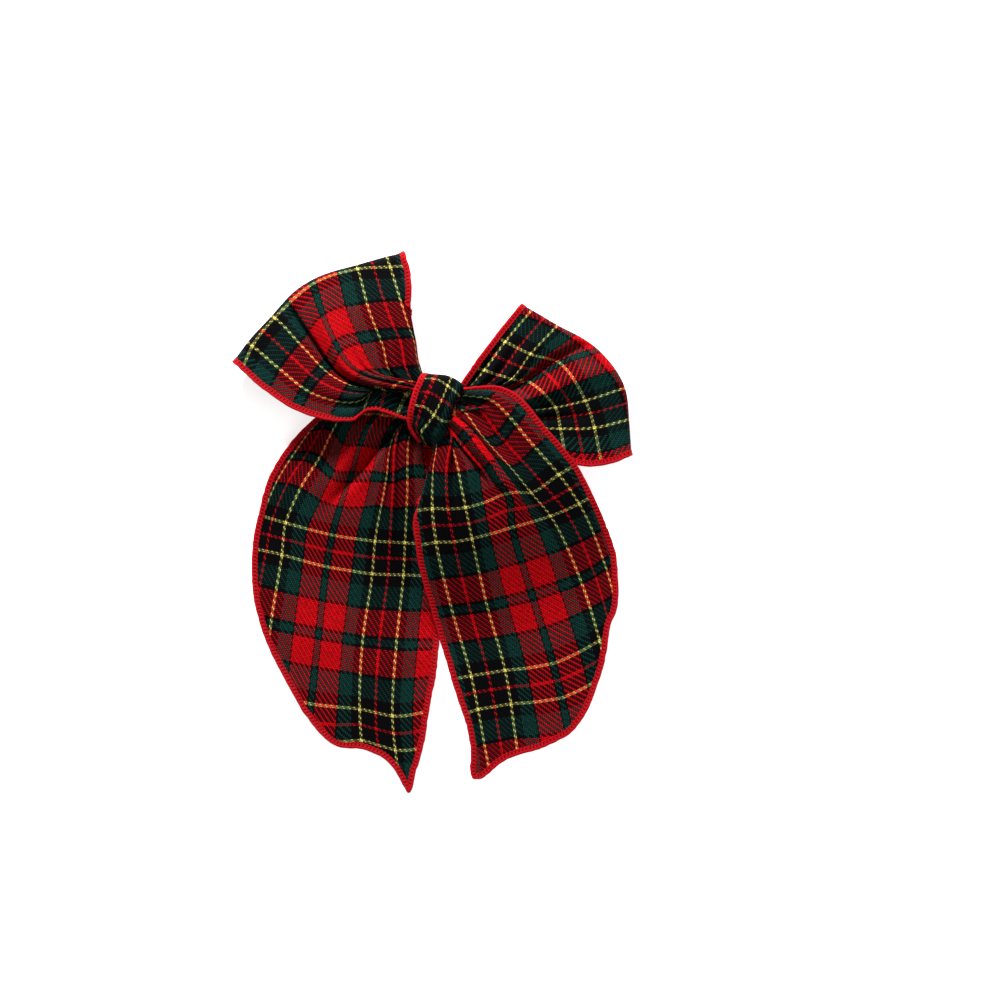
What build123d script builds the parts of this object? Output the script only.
"""Hair bow: a strip of overlocked tartan tied as a bow, on a sprung single-prong clip.

The bow lies face up. Z = 0 is the surface it lies on, +Y runs from the tails to the
loops, +X is to the right seen from above. The origin is under the middle of the
bow's outline. Millimetres.
"""
import math
import os

from build123d import *

# --- driving dimensions -------------------------------------------------------------
CLOTH = 1.0             # a tail's thickness, cloth with its relaxed waviness
LAY_GAP = 0.4           # room between one layer and the next
STITCH_WIDTH = 2.8      # overlocked band along a cut edge
STITCH_GAP = 0.15       # room between the cloth and its overlocked band
KNOT_GAP = 0.3          # room between the knot and what comes out of it

TAIL_LENGTH = 1.0       # lengthens (over 1) or shortens the tails below the knot
LOOP_LENGTH = 1.0       # the same for the loops

KNOT_HEIGHT = 11.0      # knot from its underside to its crown
KNOT_REACH = 14.4       # radius at which the crown has come down to the underside
CORE_WIDTH = 14.0       # gathered cloth that runs through the knot, across
CORE_HEIGHT = 5.0
CORE_GAP = 0.3

PLATE_LENGTH = 44.0     # clip, upper plate
PLATE_WIDTH = 7.4
PLATE_THICK = 0.6
PLATE_BASE = 7.6        # underside of the plate above the resting surface
LINING_THICK = 0.4
LINING_MARGIN = 0.6     # lining stands out past the plate all round
GLUE_THICK = 0.8
GLUE_LENGTH = 13.0
GLUE_WIDTH = 7.0

PIVOT_X = 9.0           # hinge pin from the middle of the plate
PIVOT_DROP = 2.2        # pin axis below the plate's underside
PIN_RADIUS = 0.6
PIN_HEAD_RADIUS = 1.0
PIN_HEAD_THICK = 0.4
PIN_FIT = 0.02          # radial room in the plate's ears
PIN_RUNNING = 0.05      # radial room in the prong's ears
EAR_THICK = 0.5
EAR_RADIUS = 1.5
EAR_GAP = 0.2           # between the plate's ears and the prong's ears

PRONG_THICK = 0.6
PRONG_TIP_X = -21.0     # from the middle of the plate
PRONG_TIP_DROP = 1.2    # upper face of the prong's end below the plate's underside
PRONG_PIVOT_DROP = 1.7  # upper face of the prong below the pin axis
LEVER_END_X = 21.5
LEVER_END_DROP = 6.2    # upper face of the lever's end below the plate's underside
TOOTH_COUNT = 7
TOOTH_PITCH = 1.5
TOOTH_HEIGHT = 0.8

WIRE = 0.5              # torsion spring
COIL_RADIUS = 1.15      # to the middle of the wire
COIL_TURNS = 4
COIL_PITCH = 0.62
LEG_LENGTH = 8.0
LEG_CLEARANCE = 0.15

# --- levels that follow from them ----------------------------------------------------
LINING_TOP = PLATE_BASE + PLATE_THICK + LINING_THICK
KNOT_BASE = LINING_TOP + GLUE_THICK
CORE_LEVEL = KNOT_BASE + 0.45 * KNOT_HEIGHT
FREE_RADIUS = PLATE_LENGTH / 2 + 2.0        # cloth stays above the clip inside this
OUT = 140.0                                 # past the end of everything
REST = 58.0                                 # cloth has come down to the surface here
SHOULDER = (FREE_RADIUS + REST) / 2
TAIL_REST = 72.0


def raised(profile, by):
    return [(r, z + by) for r, z in profile]


# Undersides and tops of the layers, as (distance from the knot, height).
UNDER_LOWER = [
    (0, KNOT_BASE + 0.2),
    (FREE_RADIUS, LINING_TOP + 0.4),
    (SHOULDER, 4.0),
    (REST, 0),
    (OUT, 0),
]
TOP_LEFT_TAIL = raised(UNDER_LOWER, CLOTH)
TOP_RIGHT_LOOP = [
    (0, KNOT_BASE + 2.8),
    (FREE_RADIUS, KNOT_BASE + 3.0),
    (SHOULDER, 8.6),
    (REST - 2, 5.0),
    (OUT, 0.5),
]
UNDER_RIGHT_TAIL = [
    (0, TOP_RIGHT_LOOP[0][1] + LAY_GAP),
    (FREE_RADIUS, TOP_RIGHT_LOOP[1][1] + LAY_GAP),
    (SHOULDER, TOP_RIGHT_LOOP[2][1] + LAY_GAP),
    (REST - 2, TOP_RIGHT_LOOP[3][1] + LAY_GAP),
    (TAIL_REST, CLOTH + LAY_GAP),
    (OUT, CLOTH + LAY_GAP),
]
TOP_RIGHT_TAIL = raised(UNDER_RIGHT_TAIL, CLOTH)
UNDER_LEFT_LOOP = [
    (0, TOP_LEFT_TAIL[0][1] + LAY_GAP),
    (FREE_RADIUS, TOP_LEFT_TAIL[1][1] + LAY_GAP),
    (SHOULDER, TOP_LEFT_TAIL[2][1] + 1.5 * LAY_GAP),
    (REST, 0),
    (OUT, 0),
]
TOP_LEFT_LOOP = [
    (0, KNOT_BASE + 5.2),
    (FREE_RADIUS, KNOT_BASE + 5.6),
    (SHOULDER, 12.4),
    (REST - 2, 9.0),
    (OUT, 1.0),
]

# Outlines in plan, from the knot's middle, each as runs of a smooth curve.
LEFT_LOOP_UPPER = [(-3, 8), (-5, 21), (-7, 40), (-9.7, 53.7)]
LEFT_LOOP_FOLD = [(-9.7, 53.7), (-37.7, 46), (-54, 32), (-67.3, 17)]
LEFT_LOOP_LOWER = [(-67.3, 17), (-54.7, 6), (-43, -0.7), (-30, -1), (-21, 3.2), (-7, 0)]

RIGHT_LOOP_UPPER = [(6, 4), (12, 12.5), (20.7, 25.7), (29.7, 36.7)]
RIGHT_LOOP_FOLD = [(29.7, 36.7), (44, 27), (57, 20.3), (64, 8), (66, -14.3)]
RIGHT_LOOP_LOWER = [(66, -14.3), (50, -16.7), (37, -13), (25, -7.3), (4, -1)]

LEFT_TAIL_OUTER = [
    (-7, 3), (-20.7, 5), (-36, 0.3), (-49.3, -12), (-56.5, -28), (-60, -50),
    (-56, -74), (-44, -97.5), (-30, -109.5), (-16, -115), (-10.3, -125.7),
]
LEFT_TAIL_INNER = [(-10.3, -125.7), (-2, -105.7), (1.3, -77), (3, -52), (0.5, -6)]

RIGHT_TAIL_OUTER = [
    (6, 6), (17.3, 8), (25, 8), (33, 0), (50, -22.3), (60, -44), (60, -70),
    (49, -99), (29, -113.3), (13.5, -121),
]
RIGHT_TAIL_INNER = [
    (13.5, -121), (12.5, -107), (5.3, -84.3), (-2.3, -59.3), (-6, -35), (-1.7, -21), (0.8, -6),
]

KNOT_LEFT = [(-1, 12), (-5, 8.6), (-7.6, 0), (-6.4, -7.6), (0.3, -12.8)]
KNOT_RIGHT = [(0.3, -12.8), (5.4, -5), (6.6, 1), (10, 9.2), (5.5, 10.9), (-1, 12)]


pieces = {}


# --- helpers -------------------------------------------------------------------------
def stretch(points, factor, axis):
    """Lengthen an outline away from the knot, along Y for tails, along X and Y for loops."""
    if axis == "tail":
        return [(x, y * factor if y < 0 else y) for x, y in points]
    return [(x * factor, y * factor) for x, y in points]


def curve(points):
    return Spline(*[Vector(x, y) for x, y in points])


def plan(*runs):
    """Face inside runs of curves that follow each other, closed by a straight line."""
    edges = [curve(run) for run in runs]
    first = runs[0][0]
    last = runs[-1][-1]
    if first != last:
        edges.append(Line(Vector(*last), Vector(*first)))
    return make_face(edges)


def tall(face):
    return extrude(face, amount=2 * KNOT_HEIGHT + KNOT_BASE)


def band(points, width):
    """Tall strip that reaches the given width to both sides of a curve."""
    return tall(trace(curve(points), line_width=2 * width))


def between(under, top):
    """Solid of revolution between an underside and a top profile."""
    section = Polyline(*[Vector(r, 0, z) for r, z in under + top[::-1]], close=True)
    return revolve(make_face(section), axis=Axis.Z)


def biggest(shape):
    return max(shape.solids(), key=lambda solid: solid.volume)


def keep(name, shape):
    """Keep a finished piece under its name, still placed from the knot's middle."""
    shape.label = name
    pieces[name] = shape


def write_pieces():
    """Shift every piece so that the origin is under the middle of the outline."""
    boxes = [shape.bounding_box() for shape in pieces.values()]
    middle_x = (min(box.min.X for box in boxes) + max(box.max.X for box in boxes)) / 2
    middle_y = (min(box.min.Y for box in boxes) + max(box.max.Y for box in boxes)) / 2
    os.makedirs("parts", exist_ok=True)
    for name, shape in pieces.items():
        moved = shape.moved(Location((-middle_x, -middle_y, 0)))
        export_step(moved, os.path.join("parts", name + ".step"))
    print("knot at", round(-middle_x, 3), round(-middle_y, 3))
    print("pin at", round(PIVOT_X - middle_x, 3), round(-middle_y, 3), round(PIN_LEVEL, 3))


# --- the knot ------------------------------------------------------------------------
def knot_room(gap):
    """Room that the knot takes, its outline grown by a gap all round."""
    runs = []
    for run in (KNOT_LEFT, KNOT_RIGHT):
        runs.append([
            (x + gap * x / abs(Vector(x, y)), y + gap * y / abs(Vector(x, y))) for x, y in run
        ])
    return tall(plan(*runs))


def knot_body():
    """Whole knot: its outline in plan under a crown, with the channel for the core."""
    crown = [
        Vector(0, 0, KNOT_BASE + KNOT_HEIGHT),
        Vector(0.62 * KNOT_REACH, 0, KNOT_BASE + 0.72 * KNOT_HEIGHT),
        Vector(KNOT_REACH, 0, KNOT_BASE),
    ]
    base = [Vector(0, 0, KNOT_BASE), Vector(0, 0, KNOT_BASE + KNOT_HEIGHT)]
    section = make_face([
        Line(base[0], base[1]),
        ThreePointArc(crown[0], crown[1], crown[2]),
        Line(crown[2], base[0]),
    ])
    return tall(plan(KNOT_LEFT, KNOT_RIGHT)) & revolve(section, axis=Axis.Z)


def channel(gap):
    """Channel through the knot along X, with a gap round the gathered cloth."""
    outline = Ellipse(CORE_WIDTH / 2 + gap, CORE_HEIGHT / 2 + gap)
    upright = Plane(origin=(-20, -1, CORE_LEVEL), x_dir=(0, 1, 0), z_dir=(1, 0, 0))
    return extrude(upright * outline, amount=40)


def make_knot():
    body = knot_body() - channel(CORE_GAP)
    keep("knot_wrap", biggest(body - band(KNOT_LEFT, STITCH_WIDTH + STITCH_GAP)))
    keep("knot_edge", biggest(body & band(KNOT_LEFT, STITCH_WIDTH)))
    keep("knot_core", biggest(channel(0) & knot_room(0)))


# --- loops and tails -----------------------------------------------------------------
def make_panel(name, runs, edges, under, top):
    """Cloth panel between two levels, with an overlocked band along each cut edge."""
    whole = (tall(plan(*runs)) & between(under, top)) - knot_room(KNOT_GAP)
    cloth = whole
    for edge_name, edge in edges.items():
        cloth = cloth - band(edge, STITCH_WIDTH + STITCH_GAP)
    keep(name, biggest(cloth))
    for edge_name, edge in edges.items():
        stitched = whole & band(edge, STITCH_WIDTH)
        for other_name, other in edges.items():
            if other_name < edge_name:
                stitched = stitched - band(other, STITCH_WIDTH + STITCH_GAP)
        keep(edge_name, biggest(stitched))


def make_loops():
    upper, fold, lower = [
        stretch(run, LOOP_LENGTH, "loop")
        for run in (LEFT_LOOP_UPPER, LEFT_LOOP_FOLD, LEFT_LOOP_LOWER)
    ]
    edges = {"left_loop_lower_edge": lower, "left_loop_upper_edge": upper}
    make_panel("left_loop", (upper, fold, lower), edges, UNDER_LEFT_LOOP, TOP_LEFT_LOOP)
    upper, fold, lower = [
        stretch(run, LOOP_LENGTH, "loop")
        for run in (RIGHT_LOOP_UPPER, RIGHT_LOOP_FOLD, RIGHT_LOOP_LOWER)
    ]
    edges = {"right_loop_lower_edge": lower, "right_loop_upper_edge": upper}
    make_panel("right_loop", (upper, fold, lower), edges, UNDER_LOWER, TOP_RIGHT_LOOP)


def make_tails():
    outer, inner = [
        stretch(run, TAIL_LENGTH, "tail") for run in (LEFT_TAIL_OUTER, LEFT_TAIL_INNER)
    ]
    edges = {"left_tail_outer_edge": outer, "left_tail_inner_edge": inner}
    make_panel("left_tail", (outer, inner), edges, UNDER_LOWER, TOP_LEFT_TAIL)
    outer, inner = [
        stretch(run, TAIL_LENGTH, "tail") for run in (RIGHT_TAIL_OUTER, RIGHT_TAIL_INNER)
    ]
    edges = {"right_tail_outer_edge": outer, "right_tail_inner_edge": inner}
    make_panel("right_tail", (outer, inner), edges, UNDER_RIGHT_TAIL, TOP_RIGHT_TAIL)


# --- the clip ------------------------------------------------------------------------
PIN_LEVEL = PLATE_BASE - PIVOT_DROP
ROOT_EAR_INNER = PLATE_WIDTH / 2 - EAR_THICK
PRONG_EAR_OUTER = ROOT_EAR_INNER - EAR_GAP
PRONG_EAR_INNER = PRONG_EAR_OUTER - EAR_THICK


def along_y(radius, start, stop):
    """Round bar along Y on the pin's axis."""
    upright = Plane(origin=(PIVOT_X, start, PIN_LEVEL), x_dir=(1, 0, 0), z_dir=(0, 1, 0))
    return extrude(upright * Circle(radius), amount=stop - start)


def ear(inner, root_level, hole):
    """Pair of ears from a root level to round the pin, bored for it."""
    pair = None
    for side in (-1, 1):
        start = min(side * inner, side * (inner + EAR_THICK))
        disc = along_y(EAR_RADIUS, start, start + EAR_THICK)
        low = min(root_level, PIN_LEVEL)
        high = max(root_level, PIN_LEVEL)
        web = Pos(PIVOT_X, start + EAR_THICK / 2, (low + high) / 2) * Box(
            2 * EAR_RADIUS, EAR_THICK, high - low
        )
        one = disc + web - along_y(hole, start - 1, start + EAR_THICK + 1)
        pair = one if pair is None else pair + one
    return pair


def make_plate():
    top = Pos(0, 0, PLATE_BASE + PLATE_THICK / 2) * Box(PLATE_LENGTH, PLATE_WIDTH, PLATE_THICK)
    top = fillet(top.edges().filter_by(Axis.Z), PLATE_WIDTH / 2 - 0.6)
    ears = ear(ROOT_EAR_INNER, PLATE_BASE + PLATE_THICK / 2, PIN_RADIUS + PIN_FIT)
    keep("clip_plate", biggest(top + ears))


def make_lining_and_glue():
    level_z = PLATE_BASE + PLATE_THICK + LINING_THICK / 2
    length = PLATE_LENGTH + 2 * LINING_MARGIN
    width = PLATE_WIDTH + 2 * LINING_MARGIN
    lining = Pos(0, 0, level_z) * Box(length, width, LINING_THICK)
    lining = fillet(lining.edges().filter_by(Axis.Z), width / 2 - 0.6)
    keep("clip_lining", lining)
    glue = Pos(0, -1, LINING_TOP) * extrude(Ellipse(GLUE_LENGTH / 2, GLUE_WIDTH / 2), GLUE_THICK)
    keep("glue_pad", glue & knot_room(0))


def make_prong():
    """Prong, lever and teeth as one bent strip, with ears for the pin."""
    tip = PLATE_BASE - PRONG_TIP_DROP
    middle = PIN_LEVEL - PRONG_PIVOT_DROP
    end = PLATE_BASE - LEVER_END_DROP
    line = [(PRONG_TIP_X, tip), (PIVOT_X, middle), (LEVER_END_X, end)]
    under = [(x, z - PRONG_THICK) for x, z in reversed(line)]
    section = Polyline(*[Vector(x, 0, z) for x, z in line + under], close=True)
    half = PRONG_EAR_OUTER
    strip = extrude(make_face(section), amount=half, both=True, dir=(0, 1, 0))
    rounded = Pos((PRONG_TIP_X + LEVER_END_X) / 2, 0, 0) * Box(
        LEVER_END_X - PRONG_TIP_X, 2 * half, OUT
    )
    strip = strip & fillet(rounded.edges().filter_by(Axis.Z), half - 0.4)
    slope = (middle - tip) / (PIVOT_X - PRONG_TIP_X)
    for number in range(TOOTH_COUNT):
        x = PRONG_TIP_X + 2.0 + number * TOOTH_PITCH
        z = tip + slope * (x - PRONG_TIP_X) - 0.1
        tooth = Polyline(
            Vector(x, 0, z), Vector(x + TOOTH_PITCH / 2, 0, z + TOOTH_HEIGHT),
            Vector(x + TOOTH_PITCH, 0, z), close=True,
        )
        strip = strip + extrude(make_face(tooth), amount=half - 0.6, both=True, dir=(0, 1, 0))
    ears = ear(PRONG_EAR_INNER, middle - PRONG_THICK / 2, PIN_RADIUS + PIN_RUNNING)
    keep("clip_prong", biggest(strip + ears))


def make_pin():
    reach = PLATE_WIDTH / 2 + PIN_FIT
    pin = along_y(PIN_RADIUS, -reach, reach)
    pin = pin + along_y(PIN_HEAD_RADIUS, reach, reach + PIN_HEAD_THICK)
    pin = pin + along_y(PIN_HEAD_RADIUS, -reach - PIN_HEAD_THICK, -reach)
    keep("hinge_pin", pin)


def make_spring():
    """Torsion spring round the pin, one leg under the plate, one on the lever."""
    upper_end = PLATE_BASE - WIRE / 2 - LEG_CLEARANCE
    upper_slope = math.degrees(math.asin((upper_end - PIN_LEVEL - COIL_RADIUS) / LEG_LENGTH))
    lever_top = PIN_LEVEL - PRONG_PIVOT_DROP
    lever_fall = lever_top - (PLATE_BASE - LEVER_END_DROP)
    lever_slope = math.degrees(math.atan(lever_fall / (LEVER_END_X - PIVOT_X)))
    seat = lever_top - math.tan(math.radians(lever_slope)) * LEG_LENGTH + WIRE / 2 + LEG_CLEARANCE
    lower_slope = math.degrees(math.asin((PIN_LEVEL - COIL_RADIUS - seat) / LEG_LENGTH))
    first = 90 + upper_slope
    last = 270 - lower_slope
    turns = COIL_TURNS + (last - first) / 360
    height = turns * COIL_PITCH
    helix = Rot(0, 0, first) * Helix(pitch=COIL_PITCH, height=height, radius=COIL_RADIUS)
    coil = Location((PIVOT_X, height / 2, PIN_LEVEL), (90, 0, 0)) * helix
    legs = []
    for at, slope in ((0, upper_slope), (1, -lower_slope)):
        away = Vector(math.cos(math.radians(slope)), 0, math.sin(math.radians(slope)))
        legs.append(Line(coil @ at, coil @ at + away * LEG_LENGTH))
    path = Wire([legs[0], coil, legs[1]])
    section = Plane(legs[0] @ 1, z_dir=legs[0] % 1) * Circle(WIRE / 2)
    spring = sweep(section, path=path)
    keep("torsion_spring", biggest(spring))


def main():
    make_knot()
    make_loops()
    make_tails()
    make_plate()
    make_lining_and_glue()
    make_prong()
    make_pin()
    make_spring()
    write_pieces()


main()
